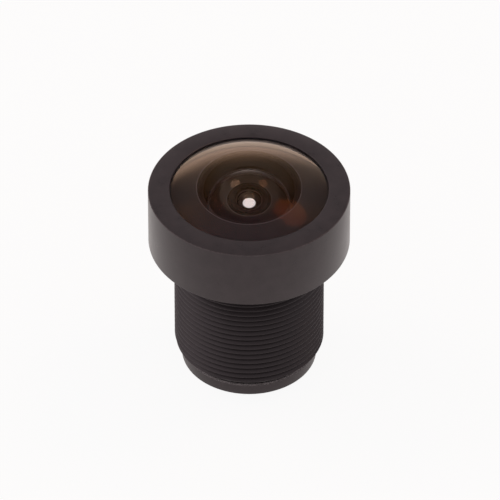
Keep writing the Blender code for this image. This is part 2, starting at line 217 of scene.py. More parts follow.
class Graph:
    """The node tree of one material or of the world."""

    def __init__(self, tree: bpy.types.NodeTree) -> None:
        """Take over a tree and empty it."""
        self.tree = tree
        tree.nodes.clear()

    def make(
        self,
        kind: str,
        settings: dict[str, object] | None = None,
        inputs: dict[str | int, object] | None = None,
        output: str | int = 0,
    ) -> Signal:
        """Add a node.

        Args:
            kind: The node's type.
            settings: Properties of the node, set before its sockets.
            inputs: A value or a Signal for each socket, by name or by number.
            output: The output socket that the result stands for.

        Returns:
            The node's output socket, or the first input of a node that ends its tree.
        """
        node = self.tree.nodes.new(kind)
        for name, value in (settings or {}).items():
            setattr(node, name, value)
        for name, value in (inputs or {}).items():
            if isinstance(value, Signal):
                self.tree.links.new(value.socket, node.inputs[name])
            else:
                node.inputs[name].default_value = value
        sockets = node.outputs if len(node.outputs) else node.inputs
        return Signal(self, sockets[output])

    def object_point(self) -> Signal:
        """Return the point in object space, in metres."""
        return self.make("ShaderNodeTexCoord", output="Object")

    def split(self, vector: Signal) -> list[Signal]:
        """Return the three parts of a vector."""
        node = self.make("ShaderNodeSeparateXYZ", inputs={0: vector}).socket.node
        return [Signal(self, socket) for socket in node.outputs]

    def ray(self, kind: Ray) -> Signal:
        """Return 1 for rays of this kind and 0 for all others."""
        return self.make("ShaderNodeLightPath", output=kind.value)

    def cylindrical(self) -> tuple[Signal, Signal]:
        """Return sqrt(x^2 + y^2) and z: the distance from the axis and the height, in millimetres."""
        x, y, z = self.split(self.object_point())
        return (x * x + y * y).root() / MM, z / MM

    def noise(self, point: Signal, scale: float, detail: float) -> Signal:
        """Return a noise between about 0 and 1, with scale grains to a unit and detail finer layers."""
        return self.make("ShaderNodeTexNoise", {}, {"Vector": point, "Scale": scale, "Detail": detail})

    def blend(self, mask: Signal, low: Colour | Signal, high: Colour | Signal) -> Signal:
        """Mix two colours.

        Args:
            mask: How much of the second colour shows.
            low: The colour where the mask is 0.
            high: The colour where it is 1.

        Returns:
            The mixed colour.
        """
        inputs = {0: mask}
        for socket, colour in zip(MIX_COLOURS, (low, high)):
            inputs[socket] = colour if isinstance(colour, Signal) else opaque(colour)
        return self.make("ShaderNodeMix", {"data_type": "RGBA"}, inputs, MIX_RESULT)

    def bump(self, height: Signal, strength: float, depth: float) -> Signal:
        """Return a normal tilted by a height, where depth is its full range in millimetres."""
        inputs = {"Height": height, "Strength": strength, "Distance": depth * MM}
        return self.make("ShaderNodeBump", {}, inputs)

    def surface(self, shader: Signal) -> None:
        """Send a shader to the material's surface."""
        self.make("ShaderNodeOutputMaterial", {}, {"Surface": shader})


def new_graph(name: str) -> tuple[bpy.types.Material, Graph]:
    """Make an empty material.

    Args:
        name: Its name.

    Returns:
        The material and its graph.
    """
    material = bpy.data.materials.new(name)
    material.use_nodes = True
    return material, Graph(material.node_tree)


def opaque(colour: Colour) -> tuple[float, float, float, float]:
    """Return a colour with full alpha, as a colour socket takes it."""
    return (*colour, 1.0)


def shade(colour: Colour, level: float) -> Colour:
    """Return a colour times a level."""
    red, green, blue = colour
    return (level * red, level * green, level * blue)


@dataclass(frozen=True)
class EdgeWearAndLight:
    """Lighter places along the edges of a dyed skin, partly worn and partly painted light and highlights.

    Attributes:
        edges: Distance from the axis and height of each edge, in millimetres.
        colour: Colour of the worn edges, which also serves as the painted light.
        width: How far the lighter colour reaches from an edge, in millimetres.
        core: Share of that width that takes the full lighter colour.
        broken: Values of the grain between which the lighter colour goes from none to full.
    """

    edges: tuple[tuple[float, float], ...]
    colour: Colour
    width: float = 0.07
    core: float = 0.2
    broken: Range = (0.25, 0.75)

    def mask(self, distance: Signal, height: Signal, grain: Signal) -> Signal:
        """Work out how much of the lighter colour, worn or painted light, the surface takes.

        An edge at (d, h) is sqrt((distance - d)^2 + (height - h)^2) away. The mask is full on
        the nearest edge and falls to none at its width from it, times a mask of the grain.

        Args:
            distance: Distance from the optical axis, in millimetres.
            height: Height, in millimetres.
            grain: The skin's fine noise.

        Returns:
            How much of the lighter colour shows, from 0 to 1.
        """
        squares = []
        for edge_distance, edge_height in self.edges:
            across, along = distance - edge_distance, height - edge_height
            squares.append(across * across + along * along)
        gap = reduce(Signal.at_most, squares).root()
        return (1.0 - gap.rise(self.core * self.width, self.width)) * grain.rise(*self.broken)


@dataclass(frozen=True)
class Anodised:
    """Black anodised aluminium: fine rings from the lathe, uneven dye, and worn edges, some of which
    carry painted light.

    Attributes:
        colour: Colour of the dyed skin.
        roughness: How matt the skin is.
        wear_and_light: Its worn edges and the painted light on some of them, or None where it has none.
        index: Refractive index of the oxide skin.
        sheen: Colour of its reflection where it is looked at squarely.
        ring_pitch: Mean distance between the lathe's rings, in millimetres.
        ring_depth: Depth of the rings, in millimetres.
        dye_grains: How many patches of dye lie on a millimetre.
        dye_range: Values of the dye's noise between which it goes from dark to light.
        dye_contrast: Share by which the dye darkens and lightens the colour.
        dye_gloss: How much the roughness changes with the dye.
        fine_grains: How many grains of the skin lie on a millimetre.
        grain_gloss: How much the roughness changes with the grain.
        grain_height: Height of the grains, where 1 is that of the rings.
        relief: Strength of rings and grains in the skin's shading.
    """

    colour: Colour
    roughness: float
    wear_and_light: EdgeWearAndLight | None = None
    index: float = 1.5
    sheen: Colour = (1.0, 0.88, 0.91)
    ring_pitch: float = 0.06
    ring_depth: float = 0.0015
    dye_grains: float = 0.9
    dye_range: Range = (0.3, 0.7)
    dye_contrast: float = 0.22
    dye_gloss: float = 0.1
    fine_grains: float = 14.0
    grain_gloss: float = 0.08
    grain_height: float = 0.35
    relief: float = 0.6

    def material(self, name: str) -> bpy.types.Material:
        """Make the finish into a material.

        Args:
            name: The material's name.

        Returns:
            The material.
        """
        material, graph = new_graph(name)
        distance, height = graph.cylindrical()
        rings = graph.make("ShaderNodeCombineXYZ", {}, {0: distance, 1: height})
        lathe = graph.noise(rings, 1.0 / self.ring_pitch, detail=3.0)
        dye = graph.noise(graph.object_point(), self.dye_grains / MM, detail=4.0)
        grain = graph.noise(graph.object_point(), self.fine_grains / MM, detail=2.0)
        darker = shade(self.colour, 1.0 - self.dye_contrast)
        lighter = shade(self.colour, 1.0 + self.dye_contrast)
        colour = graph.blend(dye.rise(*self.dye_range), darker, lighter)
        if self.wear_and_light:
            colour = graph.blend(self.wear_and_light.mask(distance, height, grain), colour, self.wear_and_light.colour)
        dyed, grained = (dye - NOISE_MIDDLE) * self.dye_gloss, (grain - NOISE_MIDDLE) * self.grain_gloss
        inputs = {
            "Base Color": colour,
            "Roughness": self.roughness + dyed + grained,
            "Normal": graph.bump(lathe + grain * self.grain_height, self.relief, self.ring_depth),
            "IOR": self.index,
            "Specular Tint": opaque(self.sheen),
        }
        graph.surface(graph.make("ShaderNodeBsdfPrincipled", {}, inputs))
        return material


@dataclass(frozen=True)
class Coating:
    """A thin anti-reflection film on glass.

    The film takes away the reflection of light four times as long as its optical thickness, so a
    thin film leaves an amber reflection and a thick one a blue one.

    Attributes:
        thickness: Its thickness, in nanometres.
        kept: Share of its reflection that shows.
    """

    thickness: float
    kept: float = 1.0


@dataclass(frozen=True)
class CoatedGlass:
    """Polished optical glass under a coating.

    Attributes:
        glass: The kind of glass.
        coating: The film on it.
        edge: Distance from the axis at which the edge tint is reached, in millimetres.
        tint: Colour of the glass where it is looked through.
        edge_tint: Colour towards its edge, where the light's way through it is longer.
        even: Share of the edge's distance up to which the tint is even.
    """

    glass: Glass
    coating: Coating
    edge: float
    tint: Colour = (0.992, 0.978, 0.975)
    edge_tint: Colour = (0.975, 0.955, 0.95)
    even: float = 0.35

    def material(self, name: str) -> bpy.types.Material:
        """Make the finish into a material.

        Where the coating keeps less than all of its reflection, a lobe that only refracts
        stands in for the rest.

        Args:
            name: The material's name.

        Returns:
            The material.
        """
        material, graph = new_graph(name)
        distance, _ = graph.cylindrical()
        outwards = distance.rise(self.even * self.edge, self.edge)
        inputs = {
            "Base Color": graph.blend(outwards, self.tint, self.edge_tint),
            "Roughness": 0.0,
            "IOR": self.glass.value,
            "Transmission Weight": 1.0,
            "Thin Film Thickness": self.coating.thickness,
            "Thin Film IOR": FILM_INDEX,
        }
        shader = graph.make("ShaderNodeBsdfPrincipled", {}, inputs)
        kept = self.coating.kept
        if kept < 1.0:
            clear = {"Color": opaque(self.tint), "Roughness": 0.0, "IOR": self.glass.value}
            through = graph.make("ShaderNodeBsdfRefraction", {}, clear)
            shader = graph.make("ShaderNodeMixShader", {}, {0: kept, 1: through, 2: shader})
        graph.surface(shader)
        return material


@dataclass(frozen=True)
class Matt:
    """A matt black skin, such as edge paint, film or rubber, with a fine grain.

    Attributes:
        colour: Its colour.
        roughness: How matt it is.
        grain_size: Size of the grains, in millimetres.
        grain_depth: Depth of the grains, in millimetres.
        grain_range: Values of the grain between which it goes from dark to light.
        grain_gloss: How much the roughness changes with the grain.
        lightest: Level of the lightest grains, where 1 is the colour.
        relief: Strength of the grains in its shading.
    """

    colour: Colour
    roughness: float
    grain_size: float = 0.08
    grain_depth: float = 0.004
    grain_range: Range = (0.35, 0.7)
    grain_gloss: float = 0.2
    lightest: float = 1.6
    relief: float = 0.5

    def material(self, name: str) -> bpy.types.Material:
        """Make the finish into a material.

        Args:
            name: The material's name.

        Returns:
            The material.
        """
        material, graph = new_graph(name)
        grain = graph.noise(graph.object_point(), 1.0 / (self.grain_size * MM), detail=3.0)
        lighter = shade(self.colour, self.lightest)
        inputs = {
            "Base Color": graph.blend(grain.rise(*self.grain_range), self.colour, lighter),
            "Roughness": self.roughness + (grain - NOISE_MIDDLE) * self.grain_gloss,
            "Normal": graph.bump(grain, self.relief, self.grain_depth),
        }
        graph.surface(graph.make("ShaderNodeBsdfPrincipled", {}, inputs))
        return material


BLACKING = Matt((0.04, 0.037, 0.038), roughness=0.6, grain_size=0.05, grain_depth=0.001)
# Light grey ground glass of a lens's edge, and of the ring by its rear hollow, where it also paints a
# highlight.
GROUND_GLASS_AND_HIGHLIGHT = Matt((0.3, 0.26, 0.28), roughness=0.7, grain_size=0.05, grain_depth=0.001)
RUBBER = Matt((0.012, 0.012, 0.012), roughness=0.62, grain_size=0.05, grain_depth=0.006)
FILM = Matt((0.03, 0.025, 0.026), roughness=0.7)
INNER_BLACK = Anodised((0.012, 0.01, 0.01), roughness=0.45, ring_pitch=0.1)


@dataclass
class Sheet:
    """A grid of points in millimetres that becomes one stretch of a mesh.

    Attributes:
        points: An array of rows x columns x 3.
        finish: Number of the material that it takes in its piece.
    """

    points: np.ndarray
    finish: int = 0

    def quads(self) -> np.ndarray:
        """Join neighbouring grid points by four-sided faces.

        Returns:
            An array of faces x 4, with the numbers of each face's corners.
        """
        rows, columns = self.points.shape[:2]
        index = np.arange(rows * columns).reshape(rows, columns)
        corners = (index[:-1, :-1], index[:-1, 1:], index[1:, 1:], index[1:, :-1])
        return np.stack([corner.ravel() for corner in corners], axis=1)


@dataclass(frozen=True)
class Face:
    """One spherical face of a lens.

    Attributes:
        edge: Distance of its edge from the axis, in millimetres.
        bulge: How far its middle stands out past its edge, in millimetres. It is under zero
            where the face is hollow.
    """

    edge: float
    bulge: float

    @property
    def radius(self) -> float:
        """Radius of the ball: (edge^2 + bulge^2) / (2 |bulge|)."""
        return (self.edge**2 + self.bulge**2) / (2 * abs(self.bulge))

    def fall(self, distance: float) -> float:
        """Return how far the ball falls away from its middle: radius - sqrt(radius^2 - distance^2)."""
        return self.radius - math.sqrt(self.radius**2 - distance**2)

    def profile(self, rim: float, side: int, steps: int) -> np.ndarray:
        """Trace the face from the axis out to its edge.

        At the angle a about the ball's centre a point lies radius * sin a from the axis, and has
        fallen radius * (1 - cos a) from the middle. The angles are evenly spaced.

        Args:
            rim: Height of the face's edge.
            side: 1 for a front face and -1 for a rear face.
            steps: How many chords the face has.

        Returns:
            An array of (distance, height).
        """
        angle = np.linspace(0.0, math.asin(self.edge / self.radius), steps + 1)
        fall = math.copysign(self.radius, self.bulge) * (1.0 - np.cos(angle))
        height = rim + side * (self.bulge - fall)
        return np.stack([self.radius * np.sin(angle), height], axis=1)


def arcs(corners: list[Corner]) -> np.ndarray:
    """Round the corners of a profile.

    Each corner is (distance, height, round radius). With unit vectors u and v from a corner to
    its two neighbours and a half angle h between them, the round starts and ends at a distance
    of radius / tan(h) along u and v, and its centre lies radius / sin(h) along their bisector.
    Points on it come from turning the first spoke towards the second in even steps.

    Args:
        corners: The profile's corners in order. The first and the last count as neighbours.

    Returns:
        An array of (distance, height), with no point twice in a row.
    """
    table = np.array(corners, float)
    tips, radius = table[:, :2], table[:, 2:]
    back, ahead = np.roll(tips, 1, axis=0) - tips, np.roll(tips, -1, axis=0) - tips
    back /= np.linalg.norm(back, axis=1, keepdims=True)
    ahead /= np.linalg.norm(ahead, axis=1, keepdims=True)
    half = np.arccos(np.clip((back * ahead).sum(1, keepdims=True), -1.0, 1.0)) / 2
    middle = back + ahead
    middle /= np.maximum(np.linalg.norm(middle, axis=1, keepdims=True), TINY)
    centre = tips + middle * radius / np.sin(half)
    first = tips + back * radius / np.tan(half) - centre
    last = tips + ahead * radius / np.tan(half) - centre
    share = np.linspace(0.0, 1.0, ARC_STEPS + 1)[None, :, None]
    sweep = (np.pi - 2 * half)[:, None, :]
    leaving, coming = np.sin((1 - share) * sweep), np.sin(share * sweep)
    spokes = (leaving * first[:, None] + coming * last[:, None]) / np.maximum(np.sin(sweep), TINY)
    points = (centre[:, None] + spokes).reshape(-1, 2)
    fresh = np.ones(len(points), bool)
    fresh[1:] = np.linalg.norm(np.diff(points, axis=0), axis=1) > SAME_POINT
    return points[fresh]


def closed(profile: np.ndarray) -> np.ndarray:
    """Return the profile with its first point again at its end."""
    return np.concatenate([profile, profile[:1]])


def turned(profile: np.ndarray, finish: int = 0) -> Sheet:
    """Turn a profile about the optical axis.

    A point (d, h) of the profile at the angle a goes to (d cos a, d sin a, h).

    Args:
        profile: An array of (distance, height) in millimetres.
        finish: Number of the material that the stretch takes.

    Returns:
        The sheet, whose last column meets its first.
    """
    angle = np.linspace(0.0, 2 * np.pi, SEGMENTS + 1)[None, :]
    distance, height = profile[:, :1], profile[:, 1:]
    around = [distance * np.cos(angle), distance * np.sin(angle), height + 0 * angle]
    return Sheet(np.stack(around, axis=2), finish)


def flat_ring(start: float, end: float, height: float, finish: int = 0) -> Sheet:
    """Return a flat ring between two distances from the axis."""
    return turned(np.array([(start, height), (end, height)]), finish)


def wall(distance: float, top: float, bottom: float, finish: int) -> Sheet:
    """Return an upright wall round the axis."""
    return turned(np.array([(distance, top), (distance, bottom)]), finish)


def build(name: str, sheets: list[Sheet], materials: list[bpy.types.Material]) -> bpy.types.Object:
    """Join sheets into one closed mesh.

    Args:
        name: The piece's name.
        sheets: Its stretches, which meet along shared rings.
        materials: Its materials, in the order of their numbers.

    Returns:
        The piece, at the origin, in metres, smooth between its sharp edges.
    """
    offsets = np.cumsum([0] + [sheet.points.shape[0] * sheet.points.shape[1] for sheet in sheets])
    points = np.concatenate([sheet.points.reshape(-1, 3) for sheet in sheets]) * MM
    faces = np.concatenate([sheet.quads() + start for sheet, start in zip(sheets, offsets)])
    finishes = np.concatenate([np.full(len(sheet.quads()), sheet.finish) for sheet in sheets])
    mesh = bpy.data.meshes.new(name)
    mesh.vertices.add(len(points))
    mesh.vertices.foreach_set("co", points.astype(np.float32).ravel())
    mesh.loops.add(faces.size)
    mesh.loops.foreach_set("vertex_index", faces.astype(np.int32).ravel())
    mesh.polygons.add(len(faces))
    mesh.polygons.foreach_set("loop_start", np.arange(0, faces.size, 4, dtype=np.int32))
    mesh.polygons.foreach_set("material_index", finishes.astype(np.int32))
    mesh.update(calc_edges=True)
    shape = bmesh.new()
    shape.from_mesh(mesh)
    bmesh.ops.remove_doubles(shape, verts=shape.verts, dist=MERGE_DISTANCE)
    bmesh.ops.recalc_face_normals(shape, faces=shape.faces)
    shape.to_mesh(mesh)
    shape.free()
    mesh.shade_smooth()
    mesh.set_sharp_from_angle(angle=SHARP_ANGLE)
    for material in materials:
        mesh.materials.append(material)
    piece = bpy.data.objects.new(name, mesh)
    bpy.context.scene.collection.objects.link(piece)
    return piece


def seat(piece: bpy.types.Object, node: str, slot: Slot) -> None:
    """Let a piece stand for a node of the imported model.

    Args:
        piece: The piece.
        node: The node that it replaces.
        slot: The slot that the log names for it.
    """
    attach(piece, BODY)
    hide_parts(node)
    log.info("%s: %d faces, finish %s", piece.name, len(piece.data.polygons), slot.value)


def skin_piece(node: str, sheets: list[Sheet], material: bpy.types.Material, slot: Slot) -> None:
    """Make a piece of one material in the place of a node."""
    seat(build(node + "_skin", sheets, [material]), node, slot)


@dataclass
class Span:
    """The room that a node takes, in millimetres.

    Attributes:
        node: Its name.
        edge: Its radius about the optical axis.
        low: Height of its lowest point.
        high: Height of its highest point.
    """

    node: str
    edge: float = field(init=False)
    low: float = field(init=False)
    high: float = field(init=False)

    def __post_init__(self) -> None:
        """Read the node's box."""
        lowest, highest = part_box(self.node)
        self.edge = highest.x / MM
        self.low, self.high = lowest.z / MM, highest.z / MM


def ring_piece(node: str, opening: float, edge_round: float, finish: Anodised | Matt, slot: Slot) -> None:
    """Make a plain ring with rounded edges in the place of a node.

    Args:
        node: The node that it stands for.
        opening: Distance of its bore from the axis, in millimetres.
        edge_round: Radius of its edges' rounds, in millimetres.
        finish: Its finish.
        slot: Its slot.
    """
    span = Span(node)
    corners = [
        (opening, span.high, edge_round),
        (span.edge, span.high, edge_round),
        (span.edge, span.low, edge_round),
        (opening, span.low, edge_round),
    ]
    skin_piece(node, [turned(closed(arcs(corners)))], finish.material(node + "_finish"), slot)


def lens_piece(
    node: str,
    front: Face,
    rear: Face,
    coats: tuple[CoatedGlass, CoatedGlass],
    slot: Slot = Slot.INNER_GLASS,
    steps: int = 32,
) -> None:
    """Make a lens in the place of a node: polished faces, a ground edge and blackened lands.

    A narrow ring of the rear land, next to its hollow, is unpainted ground glass. Its light grey
    also paints a highlight along the hollow's edge.

    Args:
        node: The node that it stands for.
        front: Its front face.
        rear: Its rear face.
        coats: Finish of the front face and of the rear face.
        slot: Its slot.
        steps: How many chords each face has.
    """
    span = Span(node)
    top = span.high - max(front.bulge, 0.0)
    bottom = span.low + max(rear.bulge, 0.0)
    bare_highlight_edge = min(rear.edge + BARE_HIGHLIGHT_WIDTH, span.edge)
    sheets = [
        turned(front.profile(top, 1, steps), LensFinish.FRONT),
        turned(rear.profile(bottom, -1, steps), LensFinish.REAR),
        wall(span.edge, top, bottom, LensFinish.GROUND_AND_HIGHLIGHT),
    ]
    materials = [
        coats[0].material(node + "_front_glass"),
        coats[1].material(node + "_rear_glass"),
        GROUND_GLASS_AND_HIGHLIGHT.material(node + "_ground_glass_and_highlight"),
    ]
    # The ring of ground glass by the hollow, whose light grey paints a highlight along its edge.
    if bare_highlight_edge > rear.edge:
        sheets.append(flat_ring(bare_highlight_edge, rear.edge, bottom, LensFinish.GROUND_AND_HIGHLIGHT))
    lands = [(front.edge, span.edge, top), (span.edge, bare_highlight_edge, bottom)]
    lands = [land for land in lands if land[0] != land[1]]
    if lands:
        sheets += [flat_ring(*land, LensFinish.BLACK) for land in lands]
        materials.append(BLACKING.material(node + "_blacking"))
    seat(build(node + "_polished", sheets, materials), node, slot)


# What two sub-assemblies share: the width of the barrel's ledge inside the holder's opening and
# the wall of the holder's spigot, in millimetres, and the lens face that rests on the barrel's web.
HOLDER_LEDGE = 0.1
SPIGOT_WALL = 0.8
THIRD_FRONT = Face(3.25, 0.76)


@dataclass
class Head:
    """The turned cap that holds the front glass, and the rubber ring under its lip.

    Attributes:
        lip_overlap: How far the lip reaches in over the glass.
        lip_thickness: Thickness of the lip at its edge.
        lip_round: Round on the lip's upper edge.
        lip_lower_round: Round on its lower edge.
        crown: How much lower the top lies at its outer edge than at the lip's edge.
        chamfer: Chamfer round the top.
        chamfer_round: Round on that chamfer's edges.
        skirt_chamfer: Chamfer round the bottom.
        skirt_round: Round on that chamfer's edges.
        wear_and_light_inset: How far in from the top's corner the worn edge is centred.
        dye: Colour of the cap.
        rubbed_and_lit: Colour of its worn edges; on the lip's inner wall, which lies in shade, the same
            colour is painted light.
        cord_steps: How many chords the rubber ring's section has.
    """

    lip_overlap: float = 0.23
    lip_thickness: float = 0.11
    lip_round: float = 0.08
    lip_lower_round: float = 0.02
    crown: float = 0.09
    chamfer: float = 0.05
    chamfer_round: float = 0.03
    skirt_chamfer: float = 0.1
    skirt_round: float = 0.04
    wear_and_light_inset: float = 0.025
    dye: Colour = (0.017, 0.0132, 0.0145)
    rubbed_and_lit: Colour = (0.09, 0.078, 0.08)
    cord_steps: int = 24

    def make_cap(self) -> None:
        """Turn the cap."""
        span, glass = Span("front_cap"), Span("front_element").edge
        outer, top, base = span.edge, span.high, span.low
        opening, rim_top = glass - self.lip_overlap, top - self.crown
        underside = Span("front_seal").high + FACE_GAP
        skirt_bore = Span("main_barrel").edge + SIDE_GAP
        corners = [
            (opening, top, self.lip_round),
            (outer - self.chamfer, rim_top, self.chamfer_round),
            (outer, rim_top - self.chamfer, self.chamfer_round),
            (outer, base + self.skirt_chamfer, self.skirt_round),
            (outer - self.skirt_chamfer, base, self.skirt_round),
            (skirt_bore, base, 0.0),
            (skirt_bore, underside, 0.0),
            (glass + SIDE_GAP, underside, 0.0),
            (opening, top - self.lip_thickness, self.lip_lower_round),
        ]
        # The top's corner and the skirt's chamfer are worn. The lip's two edges paint light onto its
        # inner wall, which lies in shade.
        edges = (
            (outer - self.wear_and_light_inset, rim_top - self.wear_and_light_inset),
            (outer, base + self.skirt_chamfer / 2),
            (opening, top),
            (opening, top - self.lip_thickness),
        )
        finish = Anodised(self.dye, roughness=0.3, wear_and_light=EdgeWearAndLight(edges, self.rubbed_and_lit))
        sheets = [turned(closed(arcs(corners)))]
        skin_piece("front_cap", sheets, finish.material("cap_finish"), Slot.HEAD)

    def make_seal(self) -> None:
        """Turn the rubber ring from a round cord: its profile is a circle."""
        span = Span("front_seal")
        angle = np.linspace(0.0, -2 * np.pi, self.cord_steps + 1)
        cord = (span.high - span.low) / 2
        centre = np.array([span.edge - cord, span.low + cord])
        profile = centre + cord * np.stack([np.cos(angle), np.sin(angle)], axis=1)
        skin_piece("front_seal", [turned(profile)], RUBBER.material("seal_finish"), Slot.RUBBER)

    def dress(self) -> None:
        """Make every piece of the head."""
        self.make_cap()
        self.make_seal()


@dataclass
class Barrel:
    """The threaded barrel with its flange, its stepped bore and its web.

    Attributes:
        pitch: Pitch of the thread.
        thread_depth: Depth of the thread from its crests.
        phases: Points of the thread's section, from a crest on, as shares of the pitch.
        cuts: Depth at each of them, as a share of the thread's depth.
        crest: Distance of the thread's crests from the axis.
        end_chamfer: Chamfer at the rear end.
        relief_depth: Depth of the relief under the head, from the crests.
        relief_height: Height of the relief.
        web_ledge: How far the web reaches in over the third lens.
        edge_round: Round on each turned edge.
        finish: Its finish.
    """

    pitch: float = 0.5
    thread_depth: float = 0.29
    phases: tuple[float, ...] = (0.0, 0.04, 0.09, 0.3, 0.5, 0.56, 0.62, 0.82)
    cuts: tuple[float, ...] = (0.0, 0.0, 0.07, 0.53, 0.97, 1.0, 0.97, 0.47)
    crest: float = 5.97
    end_chamfer: float = 0.4
    relief_depth: float = 0.37
    relief_height: float = 0.5
    web_ledge: float = 0.7
    edge_round: float = 0.03
    finish: Anodised = Anodised((0.006, 0.0045, 0.005), roughness=0.38, index=1.62, ring_pitch=0.09)

    def thread(self, bottom: float, top: float) -> Sheet:
        """Cut the thread as one sheet whose rows follow the helix.

        A row is a phase p of the thread's section, and its height at the angle a is
        bottom + pitch * (p + a / 2 pi). The distance from the axis is the crest less the depth
        times g(p), where g is 0 on the crest's flat, 1 on the root's and a straight line on the
        flanks between. Two cones end it: the distance is at most that of the chamfer at the
        rear and that of the slope into the relief. Rows that reach past an end are held there.

        Args:
            bottom: Height of the rear end.
            top: Height of the relief's lower edge.

        Returns:
            The sheet.
        """
        turns = math.ceil((top - bottom) / self.pitch) + 1
        phase = np.arange(-1, turns)[:, None] + np.array(self.phases)[None, :]
        depth = np.tile(np.array(self.cuts) * self.thread_depth, turns + 1)[:, None]
        angle = np.linspace(0.0, 2 * np.pi, SEGMENTS + 1)[None, :]
        climb = self.pitch * (phase.ravel()[:, None] + angle / (2 * np.pi))
        height = np.clip(bottom + climb, bottom, top)
        distance = self.crest - depth + 0 * angle
        distance = np.minimum(distance, self.crest - self.end_chamfer + height - bottom)
        distance = np.minimum(distance, self.crest - self.relief_depth + top - height)
        points = np.stack([distance * np.cos(angle), distance * np.sin(angle), height], axis=2)
        return Sheet(points)

    def make_barrel(self) -> None:
        """Turn the barrel and cut its thread."""
        span, base, edge_round = Span("main_barrel"), Span("front_cap").low, self.edge_round
        third, ring = Span("third_element"), Span("retaining_ring")
        thread_top, relief = base - self.relief_height, self.crest - self.relief_depth
        seat_bore = Span("front_element").edge + SIDE_GAP
        seat_height = Span("front_baffle").low - FACE_GAP
        second_bore = Span("second_element").edge + SIDE_GAP
        web_opening, web_top = third.edge - self.web_ledge, Span("middle_baffle").low - FACE_GAP
        web_bottom = third.high - THIRD_FRONT.fall(web_opening) + FACE_GAP
        stack_bore, ring_bore = third.edge + SIDE_GAP, ring.edge + SIDE_GAP
        spigot_bore = ring_bore + HOLDER_LEDGE + SPIGOT_WALL + SIDE_GAP
        spigot_seat = Span("filter_holder").high + FACE_GAP
        corners = [
            (relief, thread_top, 0.0),
            (relief, base, 0.0),
            (span.edge, base, edge_round),
            (span.edge, span.high, edge_round),
            (seat_bore, span.high, edge_round),
            (seat_bore, seat_height, 0.0),
            (second_bore, seat_height, edge_round),
            (second_bore, web_top, 0.0),
            (web_opening, web_top, edge_round),
            (web_opening, web_bottom, edge_round),
            (stack_bore, web_bottom, 0.0),
            (stack_bore, ring.high + FACE_GAP, edge_round),
            (ring_bore, ring.high + FACE_GAP, 0.0),
            (ring_bore, spigot_seat, edge_round),
            (spigot_bore, spigot_seat, 0.0),
            (spigot_bore, span.low, edge_round),
            (self.crest - self.end_chamfer, span.low, 0.0),
        ]
        sheets = [self.thread(span.low, thread_top), turned(arcs(corners))]
        skin_piece("main_barrel", sheets, self.finish.material("barrel_finish"), Slot.BARREL)

    def dress(self) -> None:
        """Make the barrel."""
        self.make_barrel()


@dataclass
class FrontOptics:
    """The domed front lens, the second lens and the black sheets behind them.

    Attributes:
        dome_rise: How far the dome stands out past the glass's edge.
        bowl: The deep hollow behind the dome.
        second_front: The second lens's shallow front.
        second_rear: The deep hollow behind it.
        lap: How far a sheet reaches past the edge of a hollow.
        dome_coating: Coating of the dome.
        bowl_coating: Coating of the bowl.
        second_front_coating: Coating of the second lens's front.
        second_rear_coating: Coating of its hollow.
        front_steps: How many chords each face of the front lens has.
        second_steps: How many chords each face of the second lens has.
    """

    dome_rise: float = 2.08
    bowl: Face = Face(3.7, -2.0)
    second_front: Face = Face(3.6, -0.11)
    second_rear: Face = Face(2.3, -1.7)
    lap: float = 0.1
    dome_coating: Coating = Coating(93.0)
    bowl_coating: Coating = Coating(90.0, kept=0.35)
    second_front_coating: Coating = Coating(97.0, kept=0.12)
    second_rear_coating: Coating = Coating(92.0, kept=0.5)
    front_steps: int = 64
    second_steps: int = 48

    def dress(self) -> None:
        """Make every piece of the front optics."""
        edge = Span("front_element").edge
        coats = (
            CoatedGlass(Glass.FRONT, self.dome_coating, edge),
            CoatedGlass(Glass.FRONT, self.bowl_coating, edge),
        )
        dome = Face(edge, self.dome_rise)
        lens_piece("front_element", dome, self.bowl, coats, Slot.FRONT_GLASS, self.front_steps)
        edge = Span("second_element").edge
        coats = (
            CoatedGlass(Glass.SECOND, self.second_front_coating, edge),
            CoatedGlass(Glass.SECOND, self.second_rear_coating, edge),
        )
        front, rear = self.second_front, self.second_rear
        lens_piece("second_element", front, rear, coats, steps=self.second_steps)
        ring_piece("front_baffle", self.bowl.edge - self.lap, 0.0, FILM, Slot.FILM)
        ring_piece("middle_baffle", self.second_rear.edge + self.lap, 0.0, FILM, Slot.FILM)


